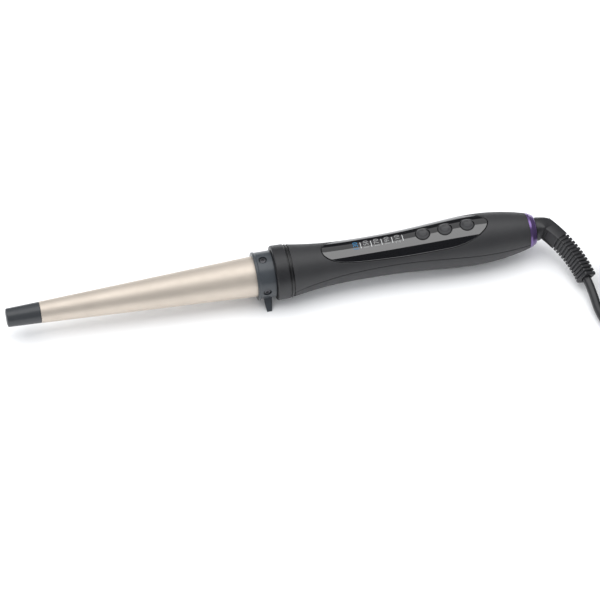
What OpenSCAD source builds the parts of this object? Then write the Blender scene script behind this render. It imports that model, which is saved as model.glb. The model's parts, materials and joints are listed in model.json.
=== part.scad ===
// Conical curling wand with a swivelling mains cord.
// X runs from the cool tip towards the cord, +Z is up through the buttons, and z = 0 is the table.
// Along the wand, every place is a distance x from the tip; seat() moves them into the part's frame.

/* [Barrel] */
// Length of the cool tip that shows
cap_len = 21; // [18:0.5:24]
// Length of the heated barrel that shows
barrel_len = 132.5; // [125:0.5:140]
// Radius of the barrel at the tip
barrel_tip_r = 6.6; // [6.4:0.1:7]
// Radius of the barrel at the collar
barrel_base_r = 12.5; // [12.4:0.1:12.7]
// Wall of the barrel
barrel_wall = 1.2; // [1:0.1:1.3]

/* [Collar] */
// Length of the heat collar
collar_len = 11.5; // [11:0.5:12]
// Radius of the heat collar
collar_r = 14.4; // [14.2:0.1:14.6]
// Angle of each foot from straight down
foot_angle = 38; // [34:1:42]
// Height of the wand's axis above the table
axis_h = 17.4; // [17.3:0.1:17.8]

/* [Handle] */
// Length of the nose ring
nose_len = 8; // [8:0.5:9]
// Radius of the nose ring
nose_r = 17.1; // [16.8:0.1:17.2]
// Length of the two handle shells
handle_len = 149.6; // [148:0.1:151]
// Radius at the front of the handle
front_r = 16.2; // [16:0.1:16.4]
// Radius at the waist of the handle
waist_r = 12.75; // [12.6:0.05:13]
// Radius at the belly of the handle
belly_r = 15.85; // [15.6:0.05:16.2]
// Radius at the tail of the handle
tail_r = 11.1; // [10.9:0.1:11.3]
// Wall of the handle shells
shell_wall = 2.2; // [2:0.1:2.3]

/* [Controls] */
// Radius of a button
button_r = 4.1; // [3.8:0.1:4.2]
// Distance between the buttons
button_pitch = 14; // [13.8:0.1:14.2]
// Travel of a button
button_travel = 0.6; // [0.4:0.1:0.6]
// Thickness of the glossy control panel
panel_t = 1.2; // [1:0.1:1.2]

/* [Cord] */
// Diameter of the cord
cord_d = 5.5; // [5.4:0.1:5.6]
// Length of the swivelling strain relief's arm
arm_len = 43; // [42:0.5:44]
// Number of ribs on the arm
arm_ribs = 11; // [8:1:11]

/* [Hidden] */
$fn = 48;

// Stations along the wand, measured from the tip.
barrel_x = cap_len;
collar_x = barrel_x + barrel_len;
collar_end_x = collar_x + collar_len;
nose_x = collar_end_x + 0.4;
groove_x = nose_x + nose_len;
groove_len = 2.8;
handle_x = groove_x + groove_len;
tail_x = handle_x + handle_len;
wand_len = tail_x + 4.6;
shaft_end_x = tail_x + 11;
wand_mid = shaft_end_x / 2;

// Small gaps: between two pieces of one body, and between two bodies that move apart.
fit_gap = 0.05;
move_gap = 0.3;

// Handle outline: stations of its waist and belly, measured from the front of the handle.
waist_u = 40;
waist_end_u = 46;
belly_u = 115;
end_wall = 3;

// Panel outline, measured from the front of the handle.
panel_front_u = 19.5;
panel_mid_u = 67.5;
panel_wide_u = 98;
panel_rear_u = 124;

first_button_u = 83;
button_hole_r = button_r + 0.25;
button_flange_r = button_r + 0.9;

board_x0 = 205;
board_x1 = 295;
board_z = 2.6;
board_t = 1.6;
board_top = board_z + board_t;
switch_h = 3.5;
switch_top = board_top + switch_h + 0.8;
screw_xs = [191, 300];
scale_pitch = 6.6;
first_number_x = 217;
first_mark_x = 220;
board_screw_xs = [212, 252];
lead_y = 4.2;

shaft_r = 5;
shaft_x0 = tail_x - 17;
ring_xs = [tail_x - 15, tail_x - 11];
ring_w = 2.4;
ring_r = 6.6;
holder_x0 = tail_x - 16;
holder_x1 = tail_x - 7.7;
clip_x = tail_x - 6.2;
bush_x = tail_x - 4.5;

// Strain relief: a neck along the axis, then an arm that bends away at the elbow.
neck_r = 7.3;
elbow_x = tail_x + 11.4;
arm_droop = 12.5;
arm_heading0 = 49.5;
arm_turn = 31.5;
arm_twist0 = -7;
arm_twist = -21;
arm_back = 1;
arm_bend_r = arm_len / (arm_turn * PI / 180);
arm_smooth = 13.7;
rib_pitch = 2.5;

// Cord route in the part's frame: from the strain relief to the coil, then from the coil to the plug.
lead_route = [
    [186.3, -38.3, 8], [187.1, -45, 6.6], [187.5, -52, 5.4], [187.8, -60, 4.3], [189.9, -70, 3.4],
    [195.1, -78.4, 2.85], [202.8, -84.8, 2.75], [212.2, -88, 2.75], [222, -88.5, 2.75],
    [231, -88.5, 2.75], [240, -88.5, 2.75]
];
tail_route = [
    [259.3, -83.3, 19.25], [266.3, -79.6, 19.1], [273.6, -76.3, 18], [281.1, -73.6, 15.4],
    [288.8, -71.6, 12], [296.6, -70.5, 8.9], [303, -70.1, 7.3], [309.9, -70, 6.9]
];
coil_centre = [240, -50];
coil_columns = 3;
coil_layers = 4;
coil_mid_r = 33;
coil_in_r = coil_mid_r - coil_columns * cord_d / 2;
coil_out_r = coil_mid_r + coil_columns * cord_d / 2;
coil_h = coil_layers * cord_d;
plug_x = 310;
plug_y = -70;
plug_relief_len = 26;
plug_len = 33;
plug_w = 35.3;
plug_t = 13.8;
pin_r = 2;
pin_len = 19;
pin_gap = 18.6;

// ---- curves ----
function bez(a, b, c, d, t) =
    a * pow(1 - t, 3) + 3 * b * t * pow(1 - t, 2) + 3 * c * t * t * (1 - t) + d * pow(t, 3);
function smooth(t) = t * t * (3 - 2 * t);
function steps(a, b, n) = [for (i = [0 : n]) a + (b - a) * i / n];

// Radius of the handle's outside at u from its front.
function handle_r(u) =
    u < waist_u ? waist_r + (front_r - waist_r) * pow(1 - u / waist_u, 2) :
    u < waist_end_u ? waist_r :
    u < belly_u ? waist_r + (belly_r - waist_r)
        * smooth(pow((u - waist_end_u) / (belly_u - waist_end_u), 1.3)) :
    belly_r - (belly_r - tail_r) * pow((u - belly_u) / (handle_len - belly_u), 2);

// Inside radius of the barrel at x.
function bore_r(x) =
    barrel_tip_r + (barrel_base_r - barrel_tip_r) * (x - barrel_x) / barrel_len - barrel_wall;

// Half of the panel's outline, from its front apex to its rear apex, grown by g.
function panel_side(g) = concat(
    [for (t = steps(0, 1, 6)) bez([panel_front_u - g, 0], [panel_front_u - g, 10.5 + g],
        [panel_front_u + 16, 9 + g], [panel_mid_u, 10.6 + g], t)],
    [[(panel_mid_u + panel_wide_u) / 2, 11.2 + g]],
    [for (t = steps(0, 1, 6)) bez([panel_wide_u, 11.7 + g], [panel_wide_u + 17, 11.9 + g],
        [panel_rear_u - 1 + g, 6 + g], [panel_rear_u + g, 0], t)]
);
function mirror_y(pts) = [for (i = [len(pts) - 2 : -1 : 1]) [pts[i][0], -pts[i][1]]];

// The seam between the shells, as height over the axis.
function seam(t) = bez([0, -2.3], [25, 4], [92, 6.6], [handle_len, -1], t);

// Heading of the strain relief's arm, and its centreline, at s from the elbow.
function arm_heading(s) = arm_heading0 + arm_turn * s / arm_len;
function arm_point(s) = [
    elbow_x + cos(arm_droop) * arm_bend_r * (sin(arm_heading(s)) - sin(arm_heading0)),
    -cos(arm_droop) * arm_bend_r * (cos(arm_heading0) - cos(arm_heading(s))),
    -sin(arm_droop) * s
];

// ---- shared shapes ----
module seat() { translate([-wand_mid, 0, axis_h]) children(); }
// A turned shape on the wand's axis; each point is [radius, x].
module turned(pts) { rotate([0, 90, 0]) rotate_extrude() polygon(pts); }
// A cylinder along X, an upright cylinder, and a box; each is given by where it starts and ends.
module rod(x0, x1, r, y = 0, z = 0) {
    translate([x0, y, z]) rotate([0, 90, 0]) cylinder(h = x1 - x0, r = r);
}
module post(x, y, z0, z1, r) { translate([x, y, z0]) cylinder(h = z1 - z0, r = r); }
module block(x, y, z) {
    translate([x[0], y[0], z[0]]) cube([x[1] - x[0], y[1] - y[0], z[1] - z[0]]);
}

// The handle's body with its outside moved in by inset, from u0 to u1.
module handle_solid(inset, u0 = 0, u1 = handle_len, n = 24) {
    turned(concat([[0, handle_x + u0]],
        [for (u = steps(u0, u1, n)) [handle_r(u) - inset, handle_x + u]],
        [[0, handle_x + u1]]));
}
// Everything over (or under) the seam, less a gap that keeps the two shells apart.
module seam_side(up) {
    gap = up ? 0.08 : -0.08;
    far = up ? 25 : -25;
    edge = [for (t = steps(0, 1, 10)) seam(t) + [handle_x, gap]];
    translate([0, 25, 0]) rotate([90, 0, 0]) linear_extrude(height = 50)
        polygon(concat([[handle_x - 1, edge[0][1]]], edge, [[tail_x + 1, edge[10][1]],
            [tail_x + 1, far], [handle_x - 1, far]]));
}
module panel_area(grow) {
    side = panel_side(grow);
    translate([handle_x, 0, 2]) linear_extrude(height = 20) polygon(concat(side, mirror_y(side)));
}
// A skin of the handle under the panel's outline.
module panel_skin(outside, inside, grow) {
    intersection() {
        difference() {
            handle_solid(outside, panel_front_u - 3, panel_rear_u + 3, 18);
            handle_solid(inside, panel_front_u - 4, panel_rear_u + 4, 18);
        }
        panel_area(grow);
    }
}
module shell_wall_half(up) {
    intersection() {
        difference() {
            handle_solid(0);
            handle_solid(shell_wall, -1, handle_len - end_wall);
            rod(tail_x - 5, tail_x + 1, 7.05);
        }
        seam_side(up);
    }
}
module at_buttons() {
    for (i = [0 : 2]) translate([handle_x + first_button_u + i * button_pitch, 0, 0]) children();
}

// ---- barrel and heater ----
module tip_cap() {
    color([0.26, 0.28, 0.31]) seat() turned([
        [0, 0], [4.4, 0], [5.1, 0.2], [5.6, 0.7], [5.8, 1.4], [barrel_tip_r - 0.1, cap_len],
        [bore_r(cap_len) - 0.15, cap_len], [bore_r(cap_len) - 0.15, cap_len + 8], [0, cap_len + 8]]);
}
module barrel() {
    neck_r = 11.4;
    bore = neck_r - barrel_wall;
    color([0.84, 0.78, 0.71]) seat() difference() {
        turned([
            [bore_r(barrel_x), barrel_x], [barrel_tip_r, barrel_x], [barrel_base_r, collar_x],
            [barrel_base_r, collar_x + 1.5], [neck_r, collar_x + 2.6], [neck_r, collar_end_x + 6],
            [bore, collar_end_x + 6], [bore, collar_x + 1.8], [bore_r(collar_x - 2), collar_x - 2]]);
        collar_screw_places() cylinder(h = 20, r = 0.8);
    }
}
module heater_element() {
    color([0.93, 0.92, 0.88]) seat() block([45, 125], [-4.5, 4.5], [-1, 1]);
}
// Half of the aluminium cone that carries heat from the element to the barrel.
module spreader_half(z0, z1) {
    intersection() {
        turned([[0, 42], [bore_r(42) - 0.1, 42], [bore_r(128) - 0.1, 128], [0, 128]]);
        block([40, 130], [-12, 12], [z0, z1]);
    }
}
module heat_spreader_upper() { color([0.75, 0.76, 0.78]) seat() spreader_half(1, 12); }
module heat_spreader_lower() { color([0.75, 0.76, 0.78]) seat() spreader_half(-12, -2.3); }
module spreader_spring() {
    strip_t = 0.3;
    wave = [for (x = [48 : 2 : 122]) [x, -1.5 + 0.4 * sin(x * 45)]];
    under = [for (i = [len(wave) - 1 : -1 : 0]) wave[i] - [0, strip_t]];
    color([0.6, 0.62, 0.65]) seat() translate([0, 3, 0]) rotate([90, 0, 0])
        linear_extrude(height = 6) polygon(concat(wave, under));
}
module temperature_sensor() {
    color([0.8, 0.45, 0.2]) seat() {
        rod(131, 137, 1.6, 5.6, 3);
        for (z = [2.3, 3.7]) rod(136, board_x0 - 0.1, 0.45, 5.6, z);
    }
}
module thermal_fuse() {
    color([0.8, 0.8, 0.82]) seat() {
        rod(140, 149, 2, 0, -6);
        rod(134, 155, 0.5, 0, -6);
    }
}
module barrel_insulator() {
    color([0.9, 0.88, 0.82]) seat() difference() {
        rod(collar_x + 5, collar_x + 12, 10.15);
        for (y = [-lead_y, lead_y]) rod(collar_x, collar_x + 20, 1, y, 0);
        rod(collar_x, collar_x + 20, 1.3, 5.6, 3);
    }
}
module heater_leads() {
    color([0.85, 0.85, 0.8]) seat() for (y = [-lead_y, lead_y]) {
        rod(125.1, board_x0 + 3, 0.9, y, 0);
        post(board_x0 + 3, y, 0, board_z, 0.9);
    }
}

// ---- collar and nose ----
screw_x = collar_x + 5.5;
module collar_screw_places() {
    for (a = [0 : 90 : 270]) translate([screw_x, 0, 0]) rotate([a, 0, 0]) children();
}
// A foot: a fin on the collar that tapers along the wand and is cut off level with the table.
module foot(side) {
    translate([screw_x + 1, 0, 0]) rotate([180 + side * foot_angle, 0, 0])
        translate([0, 1.4, 0]) rotate([90, 0, 0]) linear_extrude(height = 2.8)
            polygon([[-2.45, 12.2], [2.45, 12.2], [2.45, 14.6], [1.3, 24], [-1.6, 24], [-2.45, 14.6]]);
}
module heat_collar() {
    color([0.29, 0.33, 0.37]) seat() difference() {
        union() {
            turned([
                [barrel_base_r + fit_gap, collar_x], [collar_r + 0.1, collar_x],
                [collar_r + 0.5, collar_x + 0.5], [collar_r + 0.4, collar_x + 1.2],
                [collar_r, collar_x + 2], [collar_r, collar_end_x - 0.4], [collar_r - 0.4, collar_end_x],
                [13.4, collar_end_x], [13.4, collar_end_x + 6], [11.45, collar_end_x + 6],
                [11.45, collar_x + 2.7], [barrel_base_r + fit_gap, collar_x + 1.6]]);
            foot(-1);
            foot(1);
        }
        collar_screw_places() {
            translate([0, 0, 12.9]) cylinder(h = 10, r = 2.6);
            cylinder(h = 20, r = 1.1);
        }
        translate([screw_x - 10, -30, -axis_h - 20]) cube([20, 60, 20]);
    }
}
module collar_screws() {
    color([0.2, 0.2, 0.22]) seat() collar_screw_places() difference() {
        union() {
            translate([0, 0, 12.95]) cylinder(h = 1, r = 2);
            translate([0, 0, 10.4]) cylinder(h = 2.8, r = 0.78);
        }
        for (a = [0, 90]) rotate([0, 0, a]) translate([-1.3, -0.25, 13.5]) cube([2.6, 0.5, 2]);
    }
}
module nose_ring() {
    color([0.24, 0.24, 0.26]) seat() turned([
        [13.45, nose_x], [nose_r - 1.3, nose_x], [nose_r - 0.4, nose_x + 0.4], [nose_r, nose_x + 1.3],
        [nose_r - 0.3, groove_x], [13.3, groove_x], [13.3, handle_x + 3.4],
        [12, handle_x + 3.4], [12, collar_end_x + 6.3], [13.45, collar_end_x + 6.3]]);
}
module groove_ring() {
    color([0.08, 0.08, 0.09]) seat() turned([
        [13.35, groove_x + fit_gap], [15.7, groove_x + fit_gap], [15.7, groove_x + 0.9],
        [16.45, groove_x + 0.9], [16.4, groove_x + 1.9], [15.6, groove_x + 1.9],
        [15.6, handle_x - fit_gap], [13.35, handle_x - fit_gap]]);
}

// ---- handle shells ----
module upper_shell() {
    color([0.29, 0.29, 0.3]) seat() difference() {
        union() {
            shell_wall_half(true);
            intersection() {
                handle_solid(1);
                for (x = screw_xs) post(x, 0, 0.3, 20, 3);
            }
        }
        panel_skin(-1, panel_t + fit_gap, 0.15);
        at_buttons() cylinder(h = 25, r = button_hole_r);
        block([216, 252], [-2, 2], [5, 25]);
        for (x = screw_xs) post(x, 0, 0, 6.5, 1.1);
    }
}
module lower_shell() {
    color([0.27, 0.27, 0.28]) seat() difference() {
        union() {
            shell_wall_half(false);
            intersection() {
                handle_solid(1);
                union() {
                    for (x = screw_xs) post(x, 0, -20, 0, 3.2);
                    for (x = board_screw_xs) post(x, 0, -20, board_z, 2.6);
                }
            }
        }
        for (x = screw_xs) {
            post(x, 0, -20, 1, 1.7);
            post(x, 0, -20, -6, 2.7);
        }
        for (x = board_screw_xs) post(x, 0, -5, board_z + 1, 1);
    }
}
module shell_screws() {
    color([0.55, 0.56, 0.58]) seat() for (x = screw_xs) difference() {
        union() {
            post(x, 0, -8, -6.05, 2.6);
            post(x, 0, -6.1, 6, 1.05);
        }
        for (a = [0, 90]) translate([x, 0, -8.1]) rotate([0, 0, a])
            translate([-1.7, -0.3, 0]) cube([3.4, 0.6, 1]);
    }
}
module control_panel() {
    color([0.06, 0.06, 0.07]) seat() difference() {
        panel_skin(0, panel_t, 0);
        at_buttons() cylinder(h = 25, r = button_hole_r);
    }
}
// Printed lines of the temperature scale, standing just proud of the panel.
module scale_marks() {
    color([0.9, 0.9, 0.9]) seat() intersection() {
        difference() {
            handle_solid(-0.08, 40, 75, 12);
            handle_solid(-0.01, 39, 76, 12);
        }
        for (i = [0 : 4], x = first_mark_x + i * scale_pitch)
            block([x, x + 0.5], [-2.3, 2.3], [5, 25]);
    }
}
module light_guide() {
    color([0.85, 0.9, 0.95]) seat() block([216.4, 251.6], [-1.7, 1.7], [board_top + 1.1, 11.2]);
}
// A button at u: a dished cap, a flange that keeps it under the shell, and a stem over its switch.
module button(i) {
    u = first_button_u + i * button_pitch;
    top = handle_r(u);
    flange = top - shell_wall - 1.5;
    seat() translate([handle_x + u, 0, 0]) rotate_extrude() polygon([
        [0, switch_top + button_travel + 0.1], [1.8, switch_top + button_travel + 0.1], [1.8, flange - 0.8],
        [button_flange_r, flange - 0.8], [button_flange_r, flange], [button_r, flange],
        [button_r, top - 0.55], [button_r - 0.3, top - 0.2], [button_r - 0.9, top - 0.15],
        [button_r - 1.8, top - 0.4], [0, top - 0.5]]);
}
module power_button() { color([0.3, 0.3, 0.32]) button(0); }
module minus_button() { color([0.3, 0.3, 0.32]) button(1); }
module plus_button() { color([0.3, 0.3, 0.32]) button(2); }

// ---- electronics ----
module circuit_board() {
    color([0.1, 0.4, 0.2]) seat() difference() {
        block([board_x0, board_x1], [-8, 8], [board_z, board_top]);
        for (x = board_screw_xs) post(x, 0, 0, 10, 1.2);
    }
}
module board_screws() {
    color([0.7, 0.7, 0.72]) seat() for (x = board_screw_xs) {
        post(x, 0, board_top, board_top + 1, 1.9);
        post(x, 0, -3, board_top + 0.1, 0.9);
    }
}
module tact_switches() {
    color([0.15, 0.15, 0.16]) seat() at_buttons() {
        translate([-3, -3, board_top]) cube([6, 6, switch_h]);
        translate([0, 0, board_top]) cylinder(h = switch_h + 0.8, r = 1.6);
    }
}
module indicator_leds() {
    color([0.95, 0.95, 0.8]) seat() for (i = [0 : 4], x = first_number_x + i * scale_pitch)
        block([x - 0.8, x + 0.8], [-0.8, 0.8], [board_top, board_top + 0.9]);
}
module control_chip() {
    color([0.1, 0.1, 0.1]) seat() {
        block([228, 238], [-4, 4], [board_z - 1.6, board_z]);
        for (x = [229 : 1.5 : 237], y = [-5.2, 4])
            block([x, x + 0.6], [y, y + 1.2], [board_z - 1, board_z]);
    }
}
module triac() {
    color([0.12, 0.12, 0.12]) seat() {
        block([262, 272], [-5, 5], [-2, board_z]);
        block([272, 278], [-5, 5], [board_z - 1.3, board_z]);
    }
}
module capacitor() { color([0.85, 0.75, 0.2]) seat() post(286, 0, -7, board_z, 4.5); }
module buzzer() { color([0.1, 0.1, 0.1]) seat() post(220, 0, -3, board_z, 3.5); }

// ---- swivel ----
module brush_holder() {
    color([0.85, 0.83, 0.75]) seat() turned([
        [8.6, holder_x0], [12, holder_x0], [12, holder_x0 + 1], [10, holder_x0 + 1],
        [10, holder_x1], [8.6, holder_x1]]);
}
module contact_brushes() {
    color([0.8, 0.6, 0.3]) seat() for (x = ring_xs, side = [0, 180])
        rotate([side, 0, 0]) block([x + 0.2, x + ring_w - 0.2], [-1.6, 1.6], [ring_r + move_gap, 8.45]);
}
module swivel_bush() {
    color([0.8, 0.8, 0.78]) seat() turned([
        [shaft_r + fit_gap, bush_x], [8.5, bush_x], [8.5, bush_x + 1.45], [7, bush_x + 1.45],
        [7, tail_x - 0.1], [shaft_r + fit_gap, tail_x - 0.1]]);
}
module end_ring() {
    color([0.45, 0.33, 0.55]) seat() turned([
        [shaft_r + 0.4, tail_x + fit_gap], [tail_r - 0.2, tail_x + fit_gap], [tail_r - 0.1, tail_x + 0.4],
        [tail_r - 0.4, tail_x + 1.4], [9.1, tail_x + 4.2], [8.7, wand_len], [shaft_r + 0.4, wand_len]]);
}
module swivel_shaft() {
    color([0.7, 0.71, 0.73]) seat() difference() {
        rod(shaft_x0, shaft_end_x, shaft_r);
        rod(shaft_x0 - 1, shaft_end_x + 1, 2.4);
        difference() {
            rod(clip_x, clip_x + 1.1, 6);
            rod(clip_x - 1, clip_x + 2, 4.3);
        }
    }
}
module contact_rings() {
    color([0.8, 0.6, 0.25]) seat() for (x = ring_xs)
        turned([[shaft_r + 0.02, x], [ring_r, x], [ring_r, x + ring_w], [shaft_r + 0.02, x + ring_w]]);
}
module shaft_clip() {
    color([0.55, 0.56, 0.58]) seat() difference() {
        rod(clip_x + 0.1, clip_x + 1, 7);
        rod(clip_x - 1, clip_x + 2, 4.4);
        block([clip_x - 1, clip_x + 2], [-3, 3], [2, 9]);
    }
}

// ---- strain relief ----
// A slice of the arm from s, t long: a nearly square section with chamfered corners, which gets narrower
// and twists towards the cord. core is how far the section is drawn in, as between the ribs.
module arm_slice(s, t, core = 0) {
    along = s / arm_len;
    half_w = 4.75 - 0.5 * along - core;
    half_h = 5.15 + 0.05 * along - core;
    cut = 0.8;
    quarter = [[half_h, half_w - cut], [half_h - cut, half_w]];
    turn_back = [quarter[1], quarter[0]];
    translate(arm_point(s)) rotate([0, 90 + arm_droop, -arm_heading(s)])
        rotate([0, 0, arm_twist0 + arm_twist * max(0, along)]) linear_extrude(height = t) polygon(concat(
            quarter, [for (p = turn_back) [-p[0], p[1]]],
            [for (p = quarter) -p], [for (p = turn_back) [p[0], -p[1]]]));
}
module strain_relief() {
    ribs_end = arm_smooth + arm_ribs * rib_pitch - 0.9;
    color([0.25, 0.25, 0.26]) seat() difference() {
        union() {
            turned([[0, wand_len + move_gap], [neck_r - 0.3, wand_len + move_gap],
                [neck_r, wand_len + 0.7], [neck_r, elbow_x - 2], [neck_r - 2.5, elbow_x + 1],
                [0, elbow_x + 1]]);
            for (s = steps(-arm_back, arm_smooth - 2.6, 6)) arm_slice(s, 2.8);
            for (i = [0 : arm_ribs - 1], s = arm_smooth + i * rib_pitch) {
                arm_slice(s, 1.5);
                arm_slice(s - 0.5, rib_pitch + 0.1, 0.9);
            }
            arm_slice(ribs_end, arm_len - ribs_end);
        }
        rod(wand_len - 1, shaft_end_x, shaft_r + 0.02);
    }
}

// ---- cord and plug ----
function unit(v) = v / norm(v);
function heading_at(route, i) = unit(route[min(i + 1, len(route) - 1)] - route[max(i - 1, 0)]);
// A point on the smooth curve through a route, t of the way from point i to point i + 1.
function route_point(route, i, t) =
    let (a = route[max(i - 1, 0)], b = route[i], c = route[i + 1], d = route[min(i + 2, len(route) - 1)])
    0.5 * (2 * b + (c - a) * t + (2 * a - 5 * b + 4 * c - d) * t * t + (3 * b - a - 3 * c + d) * pow(t, 3));
function smooth_route(route) = concat(
    [for (i = [0 : len(route) - 2], t = [0, 0.5]) route_point(route, i, t)], [route[len(route) - 1]]);
function ring_at(p, dir, r, sides) =
    let (across = unit(cross(dir, [0, 0, 1])), up = cross(across, dir))
    [for (k = [0 : sides - 1]) p + r * (across * cos(k * 360 / sides) + up * sin(k * 360 / sides))];
module tube(route, r, sides = 10) {
    path = smooth_route(route);
    n = len(path);
    points = [for (i = [0 : n - 1]) each ring_at(path[i], heading_at(path, i), r, sides)];
    walls = [for (i = [0 : n - 2], k = [0 : sides - 1])
        [i * sides + k, (i + 1) * sides + k,
            (i + 1) * sides + (k + 1) % sides, i * sides + (k + 1) % sides]];
    caps = [[for (k = [0 : sides - 1]) k], [for (k = [sides - 1 : -1 : 0]) (n - 1) * sides + k]];
    polyhedron(points, concat(walls, caps));
}
module cord_lead() { color([0.2, 0.2, 0.21]) tube(lead_route, cord_d / 2 - 0.01); }
module cord_tail() { color([0.2, 0.2, 0.21]) tube(tail_route, cord_d / 2 - 0.01); }
module cord_coil() {
    bevel = 1.5;
    color([0.2, 0.2, 0.21]) translate([coil_centre[0], coil_centre[1], 0]) rotate_extrude() polygon([
        [coil_in_r + bevel, 0], [coil_out_r - bevel, 0], [coil_out_r, bevel], [coil_out_r, coil_h - bevel],
        [coil_out_r - bevel, coil_h], [coil_in_r + bevel, coil_h], [coil_in_r, coil_h - bevel],
        [coil_in_r, bevel]]);
}
// A strap round the bundle of turns, with an open loop for the bundle.
module cord_tie() {
    strap_t = 1.2;
    strap_w = 14;
    bundle = coil_out_r - coil_in_r;
    color([0.12, 0.12, 0.13]) translate([coil_centre[0], coil_centre[1], 0]) difference() {
        translate([-strap_w / 2, coil_in_r - strap_t, 0])
            cube([strap_w, bundle + 2 * strap_t, coil_h + strap_t]);
        translate([-strap_w, coil_in_r, 0.6]) cube([2 * strap_w, bundle, coil_h - 0.6]);
    }
}
// The plug lies flat on the table, and its own +Y, from the cord to the pins, runs along the frame's +X.
module at_plug() { translate([plug_x, plug_y, plug_t / 2]) rotate([0, 0, -90]) children(); }
module plug_relief() {
    color([0.18, 0.18, 0.19]) at_plug() rotate([-90, 0, 0]) difference() {
        cylinder(h = plug_relief_len, r1 = 4, r2 = 6.2);
        for (i = [0 : 5]) translate([0, 0, 4 + i * 3.6]) difference() {
            cylinder(h = 1.2, r = 9);
            cylinder(h = 1.2, r = 3.6 + i * 0.25);
        }
    }
}
module plug_body() {
    half = plug_w / 2;
    color([0.18, 0.18, 0.19]) at_plug() translate([0, plug_relief_len, -plug_t / 2])
        linear_extrude(height = plug_t) polygon(concat(
            [[-7, 0], [7, 0]],
            [for (t = steps(0, 1, 6)) bez([9, 0.6], [half - 2, 6], [half, 10], [half, 18], t)],
            [for (a = steps(0, 90, 4)) [half - 3, plug_len - 3] + 3 * [cos(a), sin(a)]],
            [for (a = steps(90, 180, 4)) [3 - half, plug_len - 3] + 3 * [cos(a), sin(a)]],
            [for (t = steps(1, 0, 6)) bez([-9, 0.6], [2 - half, 6], [-half, 10], [-half, 18], t)]));
}
module plug_pins() {
    color([0.8, 0.8, 0.78]) at_plug() for (side = [-1, 1])
        translate([side * pin_gap / 2, plug_relief_len + plug_len, 0]) rotate([-90, 0, 0]) rotate_extrude()
            polygon([[0, 0], [pin_r, 0], [pin_r, pin_len - 1], [1.2, pin_len], [0, pin_len]]);
}

tip_cap();
barrel();
heater_element();
heat_spreader_upper();
heat_spreader_lower();
spreader_spring();
temperature_sensor();
thermal_fuse();
barrel_insulator();
heat_collar();
collar_screws();
nose_ring();
groove_ring();
upper_shell();
lower_shell();
shell_screws();
control_panel();
scale_marks();
light_guide();
power_button();
minus_button();
plus_button();
circuit_board();
board_screws();
tact_switches();
indicator_leds();
control_chip();
triac();
capacitor();
buzzer();
heater_leads();
brush_holder();
contact_brushes();
swivel_bush();
end_ring();
swivel_shaft();
contact_rings();
shaft_clip();
strain_relief();
cord_lead();
cord_coil();
cord_tail();
cord_tie();
plug_relief();
plug_body();
plug_pins();
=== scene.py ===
"""Looks of a conical curling wand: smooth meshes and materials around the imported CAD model.

The wand's pieces are drawn in millimetres along the wand: x from the cool tip, y to the side and z up
from the wand's axis. place() moves them into the model's frame, in metres.
"""
import json
from math import acos, asin, cos, hypot, pi, radians, sin, tan

import bmesh
import bpy
from mathutils import Matrix, Vector
from mathutils.geometry import delaunay_2d_cdt


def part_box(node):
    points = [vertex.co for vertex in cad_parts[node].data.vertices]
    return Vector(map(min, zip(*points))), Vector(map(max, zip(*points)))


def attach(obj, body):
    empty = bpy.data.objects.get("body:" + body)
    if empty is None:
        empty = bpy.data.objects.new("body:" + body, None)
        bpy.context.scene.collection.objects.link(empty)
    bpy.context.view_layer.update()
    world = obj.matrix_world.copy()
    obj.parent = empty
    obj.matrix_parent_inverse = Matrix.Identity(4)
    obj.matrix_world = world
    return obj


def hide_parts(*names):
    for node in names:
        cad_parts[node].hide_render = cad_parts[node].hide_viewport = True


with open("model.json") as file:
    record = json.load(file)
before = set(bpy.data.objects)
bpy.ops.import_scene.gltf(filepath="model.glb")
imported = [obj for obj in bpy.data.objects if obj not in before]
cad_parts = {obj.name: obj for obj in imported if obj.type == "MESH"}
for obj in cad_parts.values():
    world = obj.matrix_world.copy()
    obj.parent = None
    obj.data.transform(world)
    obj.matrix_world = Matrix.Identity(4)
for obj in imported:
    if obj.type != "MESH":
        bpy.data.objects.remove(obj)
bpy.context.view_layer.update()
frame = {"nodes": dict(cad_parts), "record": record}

MM = 0.001
scene = bpy.context.scene

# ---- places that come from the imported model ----


def span(node):
    """The lowest and highest corner of a CAD node, in millimetres in the frame."""
    low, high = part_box(node)
    return low / MM, high / MM


wand_mid = -span("tip_cap")[0].x
axis_h = (span("barrel")[0].z + span("barrel")[1].z) / 2


def along(node):
    """Where a CAD node starts and ends along the wand."""
    low, high = span(node)
    return low.x + wand_mid, high.x + wand_mid


def place(p):
    """A point of the wand, in the frame, in metres."""
    return Vector((p[0] - wand_mid, p[1], p[2] + axis_h)) * MM


# ---- camera ----
VIEW_AZIMUTH = -12.3
VIEW_ELEVATION = 50.9
VIEW_DISTANCE = 2.0
VIEW_TARGET = Vector((0.0086, -0.0242, 0.0174))
LENS = 197.2


def make_camera():
    a, e = radians(VIEW_AZIMUTH), radians(VIEW_ELEVATION)
    back = Vector((sin(a) * cos(e), -cos(a) * cos(e), sin(e)))
    data = bpy.data.cameras.new("camera")
    data.lens = LENS
    data.sensor_width = 36
    data.clip_start = 0.05
    data.clip_end = 50
    camera = bpy.data.objects.new("camera", data)
    camera.location = VIEW_TARGET + back * VIEW_DISTANCE
    camera.rotation_euler = (-back).to_track_quat("-Z", "Y").to_euler()
    scene.collection.objects.link(camera)
    scene.camera = camera


# ---- materials ----
def new_material(name):
    material = bpy.data.materials.new(name)
    material.use_nodes = True
    tree = material.node_tree
    return material, tree, tree.nodes["Principled BSDF"]


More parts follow.
